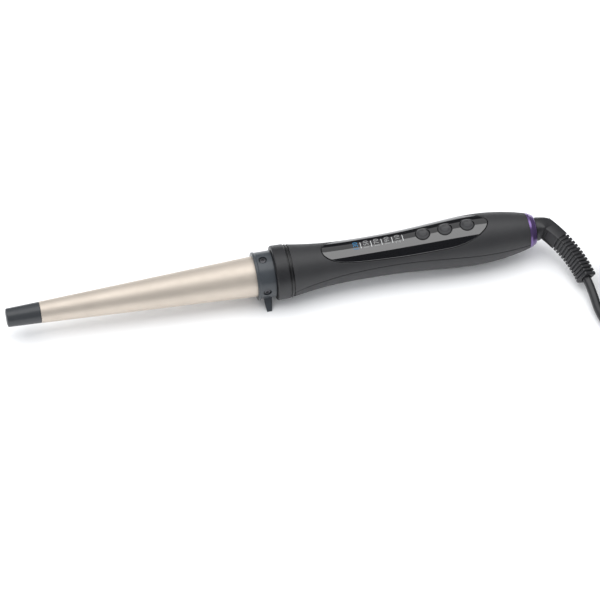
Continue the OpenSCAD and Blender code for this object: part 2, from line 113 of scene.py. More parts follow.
def noise(tree, size_mm, detail=3.0, stretch=(1, 1, 1)):
    """A noise texture with features of about size_mm."""
    place_node = tree.nodes.new("ShaderNodeTexCoord")
    mapping = tree.nodes.new("ShaderNodeMapping")
    mapping.inputs["Scale"].default_value = stretch
    texture = tree.nodes.new("ShaderNodeTexNoise")
    texture.inputs["Scale"].default_value = 1 / (size_mm * MM)
    texture.inputs["Detail"].default_value = detail
    tree.links.new(place_node.outputs["Object"], mapping.inputs["Vector"])
    tree.links.new(mapping.outputs["Vector"], texture.inputs["Vector"])
    return texture.outputs["Fac"]


def ranged(tree, value, low, high, start=0.3, end=0.7):
    """Maps a noise value's middle range to low..high."""
    node = tree.nodes.new("ShaderNodeMapRange")
    node.inputs["From Min"].default_value = start
    node.inputs["From Max"].default_value = end
    node.inputs["To Min"].default_value = low
    node.inputs["To Max"].default_value = high
    tree.links.new(value, node.inputs["Value"])
    return node.outputs["Result"]


def mixed(tree, factor, a, b):
    """A colour between a and b."""
    node = tree.nodes.new("ShaderNodeMix")
    node.data_type = "RGBA"
    node.inputs[6].default_value = (*a, 1)
    node.inputs[7].default_value = (*b, 1)
    tree.links.new(factor, node.inputs[0])
    return node.outputs[2]


def bumped(tree, bsdf, height, depth_mm):
    node = tree.nodes.new("ShaderNodeBump")
    node.inputs["Strength"].default_value = 1.0
    node.inputs["Distance"].default_value = depth_mm * MM
    tree.links.new(height, node.inputs["Height"])
    tree.links.new(node.outputs["Normal"], bsdf.inputs["Normal"])


def surface(name, colour, roughness, grain=0.35, depth=0.02, variation=0.08, stretch=(1, 1, 1), **sockets):
    """A moulded or metal surface: a fine grain, slow colour drift and patches of roughness.
    sockets are constants of the shader, by name with _ for a space."""
    material, tree, bsdf = new_material(name)
    drift = noise(tree, 18, 4)
    dark = [c * (1 - variation) for c in colour]
    light = [min(1, c * (1 + variation)) for c in colour]
    tree.links.new(mixed(tree, ranged(tree, drift, 0, 1), dark, light), bsdf.inputs["Base Color"])
    patches = noise(tree, 5, 5, stretch)
    tree.links.new(ranged(tree, patches, max(0.02, roughness - 0.04), roughness + 0.04),
                   bsdf.inputs["Roughness"])
    bumped(tree, bsdf, noise(tree, grain, 2, stretch), depth)
    for key, value in sockets.items():
        bsdf.inputs[key.replace("_", " ")].default_value = value
    return material


def woven(name, colour, thread=0.8):
    """Nylon webbing: crossed rows of threads with a fuzzy sheen; the colour darkens to half in the low gaps
    between the threads, as painted shade.
    """
    material, tree, bsdf = new_material(name)
    coord = tree.nodes.new("ShaderNodeTexCoord")
    height = None
    for axis in ("X", "DIAGONAL"):
        wave = tree.nodes.new("ShaderNodeTexWave")
        wave.wave_type = "BANDS"
        wave.bands_direction = axis
        wave.inputs["Scale"].default_value = 1 / (thread * MM * 6)
        wave.inputs["Distortion"].default_value = 0.4
        tree.links.new(coord.outputs["Object"], wave.inputs["Vector"])
        if height is None:
            height = wave.outputs["Fac"]
        else:
            join = tree.nodes.new("ShaderNodeMath")
            join.operation = "MULTIPLY"
            tree.links.new(height, join.inputs[0])
            tree.links.new(wave.outputs["Fac"], join.inputs[1])
            height = join.outputs["Value"]
    # painted shade: the colour falls to half where the threads' height is low, in the gaps between them
    tree.links.new(mixed(tree, height, [c * 0.5 for c in colour], colour), bsdf.inputs["Base Color"])
    bumped(tree, bsdf, height, 0.25)
    bsdf.inputs["Roughness"].default_value = 0.85
    bsdf.inputs["Sheen Weight"].default_value = 0.3
    return material


def glowing(name, colour, strength):
    """Print that a light behind it colours."""
    material, tree, bsdf = new_material(name)
    spots = noise(tree, 0.6, 2)
    shade = mixed(tree, ranged(tree, spots, 0, 1), [c * 0.7 for c in colour], colour)
    tree.links.new(shade, bsdf.inputs["Base Color"])
    tree.links.new(shade, bsdf.inputs["Emission Color"])
    bsdf.inputs["Emission Strength"].default_value = strength
    bsdf.inputs["Roughness"].default_value = 0.5
    return material


def make_materials():
    """One finish for each material slot of the record."""
    return {
        "cap_plastic": surface("cap_plastic", (0.036, 0.039, 0.043), 0.34, grain=0.25, depth=0.012),
        "barrel_coating": surface("barrel_coating", (0.63, 0.56, 0.485), 0.5, grain=0.12, depth=0.004,
                                  variation=0.03, Metallic=0.62),
        "ceramic": surface("ceramic", (0.85, 0.83, 0.78), 0.6, grain=0.3, depth=0.02),
        "spreader_metal": surface("spreader_metal", (0.72, 0.73, 0.75), 0.4, grain=0.6, depth=0.05,
                                  Metallic=1.0),
        "steel": surface("steel", (0.55, 0.56, 0.58), 0.3, grain=0.3, depth=0.01, Metallic=1.0),
        "black_screws": surface("black_screws", (0.10, 0.10, 0.11), 0.38, grain=0.3, depth=0.02,
                                Metallic=0.8),
        "collar_plastic": surface("collar_plastic", (0.043, 0.049, 0.056), 0.31, grain=0.25, depth=0.012),
        "nose_plastic": surface("nose_plastic", (0.018, 0.018, 0.020), 0.42, grain=0.3, depth=0.02),
        "groove_rubber": surface("groove_rubber", (0.012, 0.012, 0.013), 0.35, grain=0.4, depth=0.01),
        "shell_plastic": surface("shell_plastic", (0.027, 0.027, 0.029), 0.5, grain=0.22, depth=0.018),
        "panel_gloss": surface("panel_gloss", (0.004, 0.004, 0.005), 0.05, grain=6, depth=0.002, IOR=2.1),
        "print_white": surface("print_white", (0.46, 0.46, 0.46), 0.5, grain=0.3, depth=0.01),
        "clear_guide": surface("clear_guide", (0.75, 0.85, 0.95), 0.2, grain=1, depth=0.01,
                               Transmission_Weight=0.6),
        "button_rubber": surface("button_rubber", (0.038, 0.038, 0.040), 0.33, grain=0.2, depth=0.01),
        "board_green": surface("board_green", (0.03, 0.16, 0.07), 0.35, grain=0.8, depth=0.02),
        "component_black": surface("component_black", (0.03, 0.03, 0.032), 0.5, grain=0.3, depth=0.02),
        "component_yellow": surface("component_yellow", (0.62, 0.42, 0.05), 0.3, grain=1, depth=0.02),
        "contact_brass": surface("contact_brass", (0.78, 0.57, 0.24), 0.25, grain=0.4, depth=0.01,
                                 Metallic=1.0),
        "bearing_plastic": surface("bearing_plastic", (0.75, 0.73, 0.68), 0.4, grain=0.4, depth=0.01),
        "ring_purple": surface("ring_purple", (0.20, 0.13, 0.33), 0.3, grain=0.5, depth=0.002,
                               Metallic=0.85, Coat_Weight=0.3, Coat_Roughness=0.08),
        "cord_rubber": surface("cord_rubber", (0.022, 0.022, 0.024), 0.35, grain=0.3, depth=0.015),
        "tie_fabric": woven("tie_fabric", (0.05, 0.05, 0.055)),
        "pin_chrome": surface("pin_chrome", (0.75, 0.75, 0.73), 0.14, grain=1.5, depth=0.004, Metallic=1.0),
    }


# ---- mesh helpers ----
SHARP = radians(32)


def add_piece(name, bm, body, slot, *replaced, local=True):
    """Makes a piece from a bmesh in millimetres, hangs it on its body's empty and hides the CAD nodes that it
    stands for.
    local says that its points are along the wand, and not in the frame."""
    bmesh.ops.remove_doubles(bm, verts=bm.verts, dist=0.0005)
    bmesh.ops.dissolve_degenerate(bm, edges=bm.edges, dist=0.0005)
    bmesh.ops.recalc_face_normals(bm, faces=bm.faces)
    for v in bm.verts:
        v.co = place(v.co) if local else v.co * MM
    mesh = bpy.data.meshes.new(name)
    bm.to_mesh(mesh)
    bm.free()
    piece = bpy.data.objects.new(name, mesh)
    scene.collection.objects.link(piece)
    mesh.materials.append(materials[slot])
    shade(piece)
    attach(piece, body)
    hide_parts(*replaced)
    return piece


def shade(piece, angle=SHARP):
    piece.data.shade_smooth()
    piece.data.set_sharp_from_angle(angle=angle)


def applied(piece):
    """Turns the piece's modifiers into its mesh."""
    bpy.context.view_layer.update()
    graph = bpy.context.evaluated_depsgraph_get()
    mesh = bpy.data.meshes.new_from_object(piece.evaluated_get(graph))
    piece.modifiers.clear()
    piece.data = mesh
    return piece


def cut(piece, *shapes, join=False, local=True):
    """Cuts shapes, each a bmesh in millimetres, out of a piece, or joins them to it."""
    for bm in shapes:
        bmesh.ops.recalc_face_normals(bm, faces=bm.faces)
        for v in bm.verts:
            v.co = place(v.co) if local else v.co * MM
        mesh = bpy.data.meshes.new("cutter")
        bm.to_mesh(mesh)
        bm.free()
        cutter = bpy.data.objects.new("cutter", mesh)
        scene.collection.objects.link(cutter)
        step = piece.modifiers.new("cut", "BOOLEAN")
        step.operation = "UNION" if join else "DIFFERENCE"
        step.solver = "EXACT"
        step.object = cutter
        applied(piece)
        bpy.data.objects.remove(cutter)
    shade(piece)
    return piece


def bevelled(piece, width, segments=2, angle=35):
    step = piece.modifiers.new("edges", "BEVEL")
    step.width = width * MM
    step.segments = segments
    step.limit_method = "ANGLE"
    step.angle_limit = radians(angle)
    step.harden_normals = False
    applied(piece)
    shade(piece)
    return piece


def arc(centre, radius, start, end, n):
    """Points on an arc, in degrees from the first coordinate towards the second."""
    return [(centre[0] + radius * cos(radians(a)), centre[1] + radius * sin(radians(a)))
            for a in (start + (end - start) * i / n for i in range(n + 1))]


def rounded(points, n=4):
    """An outline whose corners are rounded: each point is (x, r) or (x, r, rounding radius)."""
    out = []
    count = len(points)
    for i, p in enumerate(points):
        here = Vector(p[:2])
        radius = p[2] if len(p) > 2 else 0
        if not radius:
            out.append((here.x, here.y))
            continue
        back = (Vector(points[i - 1][:2]) - here).normalized()
        ahead = (Vector(points[(i + 1) % count][:2]) - here).normalized()
        half = back.angle(ahead) / 2
        reach = radius / tan(half)
        centre = here + (back + ahead).normalized() * (radius / sin(half))
        first, last = here + back * reach - centre, here + ahead * reach - centre
        turn = first.angle_signed(last)
        for k in range(n + 1):
            share = k / n
            out.append(tuple(centre + Matrix.Rotation(-turn * share, 2) @ first))
    return out


def lathe(profile, sides=96, to_point=None):
    """A solid of revolution about the wand's axis, from a closed outline of (x, radius). to_point turns
    (x, radius, angle) into a point, for another axis."""
    to_point = to_point or (lambda x, r, a: (x, r * sin(a), r * cos(a)))
    bm = bmesh.new()
    rings = []
    for x, r in profile:
        if r < 1e-6:
            rings.append([bm.verts.new(to_point(x, 0, 0))])
        else:
            rings.append([bm.verts.new(to_point(x, r, 2 * pi * i / sides)) for i in range(sides)])
    for a, b in zip(rings, rings[1:] + rings[:1]):
        join_rings(bm, a, b)
    return bm


def join_rings(bm, a, b):
    """Faces between two closed rings of points, either of which may be a single point."""
    if len(a) == 1 and len(b) == 1:
        return
    n = max(len(a), len(b))
    for i in range(n):
        j = (i + 1) % n
        corners = [a[i % len(a)], a[j % len(a)], b[j % len(b)], b[i % len(b)]]
        corners = [c for k, c in enumerate(corners) if c not in corners[:k]]
        bm.faces.new(corners)


def grid(bm, rows, closed=False):
    """Faces over rows of points of the same length."""
    made = [[bm.verts.new(p) for p in row] for row in rows]
    for a, b in zip(made, made[1:]):
        n = len(a)
        for i in range(n if closed else n - 1):
            j = (i + 1) % n
            bm.faces.new((a[i], a[j], b[j], b[i]))
    return made


def swept(sections):
    """A solid through a row of closed sections, each a list of points."""
    bm = bmesh.new()
    made = grid(bm, sections, closed=True)
    bm.faces.new(reversed(made[0]))
    bm.faces.new(made[-1])
    return bm


def steps(a, b, n):
    return [a + (b - a) * i / n for i in range(n + 1)]


def bez(a, b, c, d, t):
    """A point on a cubic curve; each control point is a tuple."""
    s = 1 - t
    return tuple(p * s ** 3 + 3 * q * t * s * s + 3 * r * t * t * s + w * t ** 3
                 for p, q, r, w in zip(a, b, c, d))


def upright(x):
    """Turns a lathe's outline of (z, radius) into a solid around the upright axis at x."""
    return lambda h, radius, a: (x + radius * cos(a), radius * sin(a), h)


# ---- dimensions of the wand ----
collar_x = along("heat_collar")[0]
collar_end_x = along("nose_ring")[0] - 0.4
barrel_x = along("barrel")[0]
nose_x = along("nose_ring")[0]
handle_x, tail_x = along("upper_shell")
groove_x = along("groove_ring")[0] - 0.05
wand_len = along("end_ring")[1]
handle_len = tail_x - handle_x
barrel_tip_r = 6.6
barrel_base_r = span("barrel")[1].y
collar_r = 14.4
nose_r = span("nose_ring")[1].y
shell_wall = 2.2
waist_u = 40
waist_end_u = 46
belly_u = 115
front_r = 16.2
waist_r = 12.75
belly_r = span("control_panel")[1].z - axis_h
tail_r = span("end_ring")[1].y + 0.1
panel_t = 1.2
panel_gap = 0.25
button_us = [(span(n)[0].x + span(n)[1].x) / 2 + wand_mid - handle_x
             for n in ("power_button", "minus_button", "plus_button")]
button_r = 4.1
button_hole_r = 4.35


def handle_r(u):
    """Radius of the handle's outside at u from its front."""
    u = min(max(u, 0), handle_len)
    if u < waist_u:
        return waist_r + (front_r - waist_r) * (1 - u / waist_u) ** 2
    if u < waist_end_u:
        return waist_r
    if u < belly_u:
        t = ((u - waist_end_u) / (belly_u - waist_end_u)) ** 1.3
        return waist_r + (belly_r - waist_r) * t * t * (3 - 2 * t)
    return belly_r - (belly_r - tail_r) * ((u - belly_u) / (handle_len - belly_u)) ** 2


SEAM = [(0, -2.3), (25, 4), (92, 6.6), (handle_len, -1)]
SEAM_TABLE = [bez(*SEAM, t) for t in steps(0, 1, 400)]


def seam_z(u):
    """Height of the seam between the shells over the axis."""
    for (u0, z0), (u1, z1) in zip(SEAM_TABLE, SEAM_TABLE[1:]):
        if u <= u1:
            return z0 + (z1 - z0) * (u - u0) / (u1 - u0)
    return SEAM_TABLE[-1][1]


def panel_side(g, n=40):
    """Half of the panel's outline as (u, y), from its front apex to its rear apex, grown by g."""
    front = [bez((19.5 - g, 0), (19.5 - g, 10.5 + g), (35.5, 9 + g), (67.5, 10.6 + g), t)
             for t in (k * k for k in steps(0, 1, n))]
    rear = [bez((98, 11.7 + g), (115, 11.9 + g), (123 + g, 6 + g), (124 + g, 0), t)
            for t in (1 - (1 - k) ** 2 for k in steps(0, 1, n))]
    middle = [bez(front[-1], (77.5, 11 + g), (88, 11.4 + g), rear[0], t) for t in steps(0, 1, 12)]
    return front + middle[1:-1] + rear


def on_handle(u, y, depth=0.0):
    """The point of the upper handle's surface over (u, y), or depth under it."""
    r = handle_r(u)
    a = asin(max(-1, min(1, y / r)))
    return ring_point(u, a, depth)


def ring_point(u, a, depth=0.0):
    """The point of the handle's surface at angle a from the top, or depth under it."""
    r = handle_r(u) - depth
    return handle_x + u, r * sin(a), r * cos(a)


# ---- barrel, cap and collar ----
def bore_r(x):
    """Inside radius of the barrel."""
    return barrel_tip_r + (barrel_base_r - barrel_tip_r) * (x - barrel_x) / (collar_x - barrel_x) - 1.2


def make_cap():
    plug_r = bore_r(barrel_x) - 0.15
    outline = rounded([
        (0, 0), (0, 4.2), (0.25, 4.7, 0.3), (0.25, 5.75, 0.9), (barrel_x - 0.05, barrel_tip_r - 0.08, 0.3),
        (barrel_x - 0.05, plug_r), (barrel_x + 8, plug_r, 0.6), (barrel_x + 8, 0)], 5)
    add_piece("cool_tip", lathe(outline), "handle", "cap_plastic", "tip_cap")


def make_barrel():
    outline = rounded([
        (barrel_x, bore_r(barrel_x)), (barrel_x, barrel_tip_r, 0.3), (collar_x, barrel_base_r),
        (collar_x + 1.5, barrel_base_r, 0.4), (collar_x + 2.6, 11.4), (collar_end_x + 6, 11.4),
        (collar_end_x + 6, 10.2), (collar_x + 1.8, 10.2), (collar_x - 2, bore_r(collar_x - 2))])
    add_piece("barrel_tube", lathe(outline, 128), "handle", "barrel_coating", "barrel")


SCREW_X = collar_x + 5.5
FOOT_ANGLE = 38


def spoke(angle):
    """Turns a lathe's outline of (height, radius) into a solid on a spoke of the collar."""
    turn = Matrix.Rotation(radians(angle), 3, "X")
    return lambda h, r, a: Vector((SCREW_X, 0, 0)) + turn @ Vector((r * cos(a), r * sin(a), h))


def foot(side):
    """A fin that tapers along the wand and is cut off level with the table."""
    turn = Matrix.Rotation(radians(180 + side * FOOT_ANGLE), 3, "X")
    half_t = 1.4
    outline = rounded([(-2.45, 12.2), (2.45, 12.2), (2.45, 14.9, 1.2), (1.35, 24), (-1.55, 24),
                       (-2.45, 14.9, 1.2)])
    sections = []
    for y in (-half_t, half_t):
        sections.append([Vector((SCREW_X + 1, 0, 0)) + turn @ Vector((x, y, z)) for x, z in outline])
    return swept(sections)


def make_collar():
    outline = rounded([
        (collar_x, barrel_base_r + 0.05), (collar_x, collar_r + 0.45, 0.45),
        (collar_x + 1.3, collar_r + 0.42, 0.5), (collar_x + 2.1, collar_r, 0.8),
        (collar_end_x, collar_r, 0.45), (collar_end_x, 13.4),
        (collar_end_x + 6, 13.4), (collar_end_x + 6, 11.45), (collar_x + 2.7, 11.45),
        (collar_x + 1.6, barrel_base_r + 0.05)], 5)
    collar = add_piece("collar", lathe(outline, 160), "handle", "collar_plastic", "heat_collar")
    cut(collar, foot(-1), foot(1), join=True)
    holes = []
    for angle in (0, 90, 180, 270):
        holes.append(lathe([(12.9, 0), (12.9, 2.6), (20, 2.6), (20, 0)], 48, spoke(angle)))
        holes.append(lathe([(5, 0), (5, 1.1), (13.5, 1.1), (13.5, 0)], 32, spoke(angle)))
    table = bmesh.new()
    bmesh.ops.create_cube(table, size=1, matrix=Matrix.Translation((SCREW_X, 0, -axis_h - 10))
                          @ Matrix.Diagonal((20, 60, 20, 1)))
    cut(collar, *holes, table)
    bevelled(collar, 0.18)


def make_collar_screws():
    head = rounded([(10.4, 0), (10.4, 0.78), (12.95, 0.78), (12.95, 2, 0.1), (13.7, 2, 0.5), (13.95, 0)])
    for i, angle in enumerate((0, 90, 180, 270)):
        screw = add_piece(f"collar_screw_{i + 1}", lathe(head, 40, spoke(angle)), "handle", "black_screws",
                          "collar_screws")
        hexagon = lathe([(13.2, 0), (13.2, 1.05), (15, 1.05), (15, 0)], 6, spoke(angle))
        cut(screw, hexagon)


def make_nose():
    outline = rounded([
        (nose_x, 13.45), (nose_x, nose_r - 0.1, 1.1), (groove_x, nose_r - 0.3, 0.35), (groove_x, 13.3),
        (handle_x + 3.4, 13.3), (handle_x + 3.4, 12), (collar_end_x + 6.3, 12),
        (collar_end_x + 6.3, 13.45)], 6)
    add_piece("front_ring", lathe(outline, 160), "handle", "nose_plastic", "nose_ring")
    x0, x1 = groove_x + 0.05, handle_x - 0.05
    outline = rounded([
        (x0, 13.35), (x0, 15.6), (groove_x + 0.8, 15.6, 0.1), (groove_x + 0.8, 16.45, 0.3),
        (groove_x + 1.9, 16.4, 0.3), (groove_x + 1.9, 15.5, 0.1), (x1, 15.5), (x1, 13.35)])
    add_piece("groove_band", lathe(outline, 160), "handle", "groove_rubber", "groove_ring")


# ---- handle shells ----
EDGE = 0.35
RIM = 0.3
SHELL_SCREW_X = (191, 300)


def edge_rows(radius, n=4):
    """Rows of a rounded edge, from the flat surface to the side wall: how far in from the edge and how
    deep each lies."""
    return [(radius * (1 - sin(t)), radius * (1 - cos(t))) for t in steps(0, pi / 2, n)]


def seam_angle(u, radius, gap):
    return acos((seam_z(u) + gap) / radius)


def inner_r(u):
    """Radius of the shells' inside: a hollow, then an end wall around the swivel bush."""
    return 7.05 if u > handle_len - 3 else handle_r(u) - shell_wall


def shell_columns():
    """Places along the seam; the one where the end wall starts comes twice."""
    wall_u = handle_len - 3
    front = steps(0, wall_u, 110)
    return front + [wall_u + 0.001] + steps(wall_u + 0.5, handle_len, 8)


def make_lower_shell():
    gap = -0.08
    turns = steps(0, 1, 56)
    outer, inner = [], []
    for u in shell_columns():
        r = handle_r(u)
        start = seam_angle(u, r, gap)
        edge = [(start + away / r, depth) for away, depth in reversed(edge_rows(EDGE))]
        flat_start = edge[-1][0]
        arch = [(flat_start + (2 * pi - 2 * flat_start) * t, 0) for t in turns[1:-1]]
        whole = edge + arch + [(2 * pi - a, d) for a, d in reversed(edge)]
        outer.append([ring_point(u, a, d) for a, d in whole])
        first = seam_angle(u, inner_r(u), gap)
        angles = [first + (2 * pi - 2 * first) * i / (len(whole) - 1) for i in range(len(whole))]
        inner.append([ring_point(u, a, r - inner_r(u)) for a in angles])
    bm = bmesh.new()
    grid(bm, [a + b[::-1] for a, b in zip(outer, inner)], closed=True)
    for k in (0, -1):
        grid(bm, [outer[k], inner[k]])
    shell = add_piece("handle_bottom", bm, "handle", "shell_plastic", "lower_shell")
    for screw_x in SHELL_SCREW_X:
        boss_top = -0.2
        r = handle_r(screw_x - handle_x)
        cut(shell, lathe([(1 - r, 0), (1 - r, 3.2), (boss_top, 3.2), (boss_top, 0)], 40,
                         upright(screw_x)), join=True)
        cut(shell, lathe([(-20, 0), (-20, 2.7), (-6, 2.7), (-6, 1.7), (1, 1.7), (1, 0)], 48,
                         upright(screw_x)))


def make_upper_shell():
    gap = 0.08
    wall_u = handle_len - 3
    rims = [panel_side(panel_gap + away) for away, depth in edge_rows(RIM)]
    outline = rims[0]
    lengths = [0]
    for (u0, y0), (u1, y1) in zip(outline, outline[1:]):
        lengths.append(lengths[-1] + hypot(u1 - u0, y1 - y0))
    front_u, rear_u = outline[0][0], outline[-1][0]
    seam_front, seam_rear = 15, 129
    starts = [((u, 0), u * seam_front / front_u) for u in steps(0, front_u, 16)[:-1]]
    starts += [(p, seam_front + (seam_rear - seam_front) * s / lengths[-1])
               for p, s in zip(outline, lengths)]
    starts += [((u, 0), seam_rear + (wall_u - seam_rear) * (u - rear_u) / (wall_u - rear_u))
               for u in steps(rear_u, wall_u, 12)[1:]]
    starts += [((wall_u + 0.001, 0), wall_u + 0.001)]
    starts += [((u, 0), u) for u in steps(wall_u + 0.5, handle_len, 8)]
    half = bmesh.new()
    outer, inner = [], []
    for (u, y), seam_u in starts:
        first = asin(y / handle_r(u))
        r = handle_r(seam_u)
        last = seam_angle(seam_u, r, gap) - EDGE / r
        row = [ring_point(u + (seam_u - u) * t, first + (last - first) * t) for t in steps(0, 1, 26)]
        row += [ring_point(seam_u, last + (EDGE - away) / r, depth) for away, depth in edge_rows(EDGE)[1:]]
        outer.append(row)
        hollow = inner_r(seam_u)
        last = seam_angle(seam_u, hollow, gap)
        inner.append([ring_point(seam_u, last * t, r - hollow) for t in steps(0, 1, 16)])
    grid(half, outer)
    grid(half, inner)
    grid(half, [[row[-1] for row in outer], [row[-1] for row in inner]])
    for k in (0, -1):
        face = half.faces.new([half.verts.new(p) for p in outer[k] + inner[k][::-1]])
        bmesh.ops.triangulate(half, faces=[face])
    floor_depth = panel_t + 0.05
    wall_rows = [[on_handle(*p, depth) for p in side] for side, (away, depth) in zip(rims, edge_rows(RIM))]
    wall_rows += [[on_handle(*p, floor_depth) for p in panel_side(panel_gap)]]
    wall_rows += [[on_handle(p[0], p[1] * t, floor_depth) for p in panel_side(panel_gap)]
                  for t in (0.8, 0.6, 0.4, 0.2, 0)]
    grid(half, wall_rows)
    bmesh.ops.remove_doubles(half, verts=half.verts, dist=0.0005)
    mirrored = bmesh.ops.duplicate(half, geom=half.verts[:] + half.edges[:] + half.faces[:])
    for item in mirrored["geom"]:
        if isinstance(item, bmesh.types.BMVert):
            item.co.y = -item.co.y
    shell = add_piece("handle_top", half, "handle", "shell_plastic", "upper_shell")
    for u in button_us:
        cut(shell, lathe([(5, 0), (5, button_hole_r), (25, button_hole_r), (25, 0)], 48,
                         upright(handle_x + u)))


# ---- control panel ----
def make_panel():
    """The glossy inlay: triangles over its outline, with rounded edges and a hole for each button."""
    rounding = 0.5
    holes = [(u, 0.0) for u in button_us]
    hole_sides = 64
    outline = panel_side(-rounding)
    outline = outline + [(u, -y) for u, y in outline[-2:0:-1]]
    points = [Vector(p) for p in outline]
    loops = [list(range(len(points)))]
    for cu, cy in holes:
        loops.append(list(range(len(points), len(points) + hole_sides)))
        points += [Vector((cu + (button_hole_r + rounding) * cos(2 * pi * i / hole_sides),
                           (button_hole_r + rounding) * sin(2 * pi * i / hole_sides)))
                   for i in range(hole_sides)]
    edges = [(loop[i - 1], loop[i]) for loop in loops for i in range(len(loop))]
    half_width = panel_side(-rounding - 0.5)

    def widest(u):
        return max((y for (a, y), (b, _) in zip(half_width, half_width[1:]) if a <= u <= b), default=0)

    for u in steps(20.5, 123, 92):
        for y in steps(-11, 11, 24):
            clear = all(hypot(u - cu, y - cy) > button_hole_r + rounding + 0.4 for cu, cy in holes)
            if abs(y) < widest(u) and clear:
                points.append(Vector((u, y)))
    verts, _, faces, *_ = delaunay_2d_cdt(points, edges, [], 0, 1e-5)
    bm = bmesh.new()
    top = [bm.verts.new(on_handle(v.x, v.y)) for v in verts]
    low = [bm.verts.new(on_handle(v.x, v.y, panel_t)) for v in verts]

    def outline_width(u):
        side = panel_side(-rounding)
        for (a, y0), (b, y1) in zip(side, side[1:]):
            if a <= u <= b and b > a:
                return y0 + (y1 - y0) * (u - a) / (b - a)
        return 0

    def inside(face):
        u = sum(verts[i].x for i in face) / 3
        y = sum(verts[i].y for i in face) / 3
        if any(hypot(u - cu, y - cy) < button_hole_r + rounding - 0.02 for cu, cy in holes):
            return False
        return abs(y) < outline_width(u)

    for face in faces:
        if inside(face):
            bm.faces.new([top[i] for i in face])
            bm.faces.new([low[i] for i in reversed(face)])
    for loop in loops:
        hole = loop is not loops[0]
        rows = [[top[i].co.copy() for i in loop]]
        for away, depth in edge_rows(rounding)[1:]:
            if hole:
                cu = sum(points[i].x for i in loop) / hole_sides
                r = button_hole_r + away
                row = [on_handle(cu + r * cos(a), r * sin(a), depth)
                       for a in (2 * pi * i / hole_sides for i in range(hole_sides))]
            else:
                side = panel_side(-away)
                side = side + [(u, -y) for u, y in side[-2:0:-1]]
                row = [on_handle(u, y, depth) for u, y in side]
            rows.append(row)
        bottom = [low[i].co.copy() for i in loop]
        base = [on_handle(*to_surface(p), panel_t) for p in rows[-1]]
        grid(bm, rows + [base, bottom], closed=True)
    loose = [v for v in bm.verts if not v.link_faces]
    bmesh.ops.delete(bm, geom=loose, context="VERTS")
    panel = add_piece("control_panel_inlay", bm, "handle", "panel_gloss", "control_panel")
    true_normals(panel)


def to_surface(p):
    """The (u, y) of a surface point that lies under the point p, whatever its depth."""
    u = p[0] - handle_x
    r = hypot(p[1], p[2])
    return u, p[1] * handle_r(u) / r


def true_normals(piece):
    """Gives the points on the handle's own surface its exact normal, so that reflections run smooth."""
    mesh = piece.data
    normals = []
    for polygon in mesh.polygons:
        for loop in polygon.loop_indices:
            co = mesh.vertices[mesh.loops[loop].vertex_index].co / MM
            x, y, z = co.x + wand_mid, co.y, co.z - axis_h
            u = x - handle_x
            slope = (handle_r(u + 0.2) - handle_r(u - 0.2)) / 0.4
            r = hypot(y, z)
            exact = Vector((-slope, y / r, z / r)).normalized()
            near = abs(r - handle_r(u)) < 0.004 and exact.dot(polygon.normal) > 0.96
            normals.append(exact if near else mesh.corner_normals[loop].vector)
    mesh.normals_split_custom_set(normals)


TICK_X = 220
TICK_PITCH = 6.6
NUMBER_X = 217.2
NUMBER_PITCH = 6.55
PRINT_PROUD = 0.06


def make_scale():
    """Five printed ticks and their numbers, standing just proud of the panel."""
    bm = bmesh.new()
    for i in range(5):
        u0 = TICK_X + TICK_PITCH * i - handle_x
        rows = []
        for y in steps(-2.3, 2.3, 8):
            rows.append([on_handle(u0, y, -PRINT_PROUD), on_handle(u0 + 0.4, y, -PRINT_PROUD),
                         on_handle(u0 + 0.4, y, 0.02), on_handle(u0, y, 0.02)])
        made = grid(bm, rows, closed=True)
        bm.faces.new(made[0])
        bm.faces.new(made[-1])
    add_piece("scale_ticks", bm, "handle", "print_white", "scale_marks")
    number_print = surface("number_print", (0.22, 0.22, 0.22), 0.5, grain=0.3, depth=0.01)
    number_lit = glowing("print_lit", (0.008, 0.13, 0.28), 0.25)
    for i, number in enumerate(("130", "150", "170", "190", "210")):
        make_number(i, number, number_print, number_lit)


def make_number(i, number, number_print, number_lit):
    """A number of the scale, read with the tip of the wand at the top."""
    centre_u = NUMBER_X + NUMBER_PITCH * i - handle_x
    curve = bpy.data.curves.new("number", "FONT")
    curve.body = number
    curve.size = 4.4
    curve.align_x = "CENTER"
    curve.align_y = "CENTER"
    curve.extrude = 0.5
    curve.resolution_u = 3
    text = bpy.data.objects.new("number", curve)
    scene.collection.objects.link(text)
    bpy.context.view_layer.update()
    mesh = bpy.data.meshes.new_from_object(text.evaluated_get(bpy.context.evaluated_depsgraph_get()))
    bpy.data.objects.remove(text)
    bm = bmesh.new()
    bm.from_mesh(mesh)
    bmesh.ops.remove_doubles(bm, verts=bm.verts, dist=0.001)
    for x in steps(-4, 4, 16):
        bmesh.ops.bisect_plane(bm, geom=bm.verts[:] + bm.edges[:] + bm.faces[:], plane_co=(x, 0, 0),
                               plane_no=(1, 0, 0))
    for v in bm.verts:
        v.co = on_handle(centre_u - v.co.y, v.co.x, -PRINT_PROUD if v.co.z > 0 else 0.02)
    piece = add_piece(f"scale_number_{i + 1}", bm, "handle", "print_white", "scale_marks")
    piece.data.materials[0] = number_lit if i == 0 else number_print


# ---- buttons ----
def make_button(u, body, node):
    """A dished cap with a rounded rim, a flange under the shell and a stem over its switch."""
    top = handle_r(u)
    flange = top - shell_wall - 1.5
    low = span(node)[0].z - axis_h
    outline = rounded([
        (low, 0), (low, 1.8), (flange - 0.8, 1.8), (flange - 0.8, button_r + 0.9, 0.2),
        (flange, button_r + 0.9, 0.2), (flange, button_r), (top - 0.05, button_r, 0.5),
        (top - 0.1, button_r - 0.9, 0.3),
        (top - 0.75, button_r - 1.9, 1.0), (top - 0.9, 0)], 5)
    add_piece(f"{body}_key", lathe(outline, 72, upright(handle_x + u)), body, "button_rubber", node)


